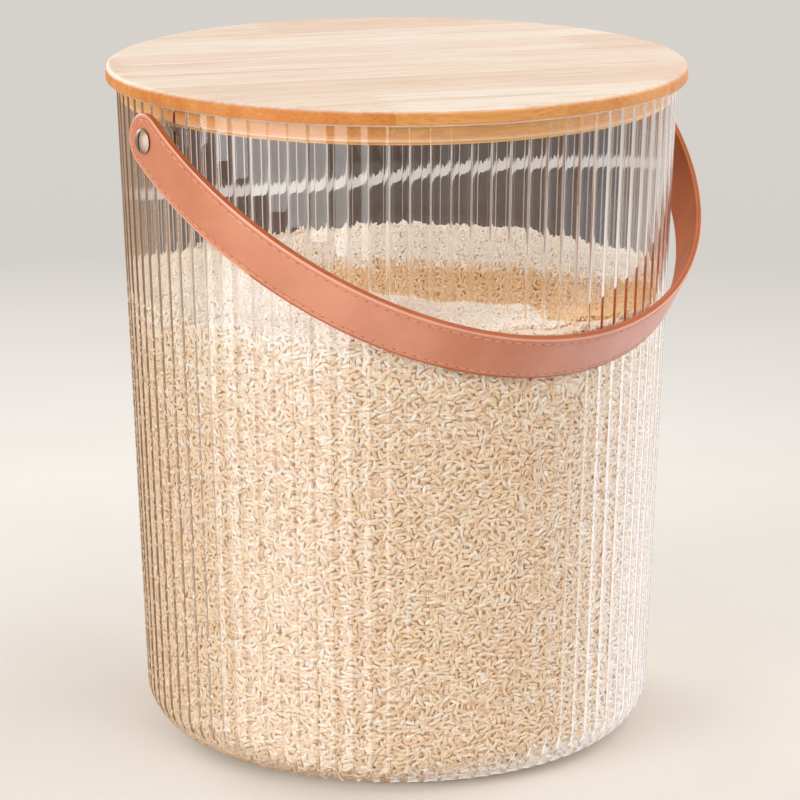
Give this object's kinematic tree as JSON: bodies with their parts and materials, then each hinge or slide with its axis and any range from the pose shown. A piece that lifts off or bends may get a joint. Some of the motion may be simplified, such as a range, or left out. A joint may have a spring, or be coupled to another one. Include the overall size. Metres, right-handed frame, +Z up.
{
  "type": "rice storage bin",
  "caption": "Round clear ribbed storage bin with a lift-off wooden lid and a swinging leather carrying strap, filled with rice.",
  "frame": {"origin": "centre of the base, on the surface the bin stands on", "axes": "+Z up along the drum's axis; X along the strap's pivot; the strap hangs towards -Y"},
  "size_m": [0.2692, 0.2627, 0.3],
  "materials": {
    "clear_plastic": "gloss",
    "rice": "matte",
    "wood_pale": "satin",
    "wood_warm": "satin",
    "silicone": "satin",
    "leather_face": "satin",
    "leather_back": "matte",
    "thread": "satin",
    "steel": "satin",
    "nylon": "matte"
  },
  "bodies": {
    "bin": {"drum": "clear_plastic", "rice_fill": "rice", "screw_left": "steel", "bush_left": "nylon", "washer_left": "silicone", "nut_left": "steel", "screw_right": "steel", "bush_right": "nylon", "washer_right": "silicone", "nut_right": "steel"},
    "lid": {"lid_stave_1": "wood_pale", "lid_stave_2": "wood_warm", "lid_stave_3": "wood_pale", "lid_stave_4": "wood_warm", "lid_stave_5": "wood_pale", "lid_stave_6": "wood_warm", "lid_seal": "silicone"},
    "strap": {"strap_face": "leather_face", "strap_backing": "leather_back", "strap_seam_upper": "thread", "strap_seam_lower": "thread"}
  },
  "joints": [
    {"name": "lid_lift", "type": "slide", "parent": "bin", "child": "lid", "axis": [0, 0, 1], "range_m": [0, 0.15]},
    {"name": "strap_swing", "type": "hinge", "parent": "bin", "child": "strap", "pos_m": [0, 0, 0.2785], "axis": [-1, 0, 0], "range_deg": [0, 247]}
  ]
}
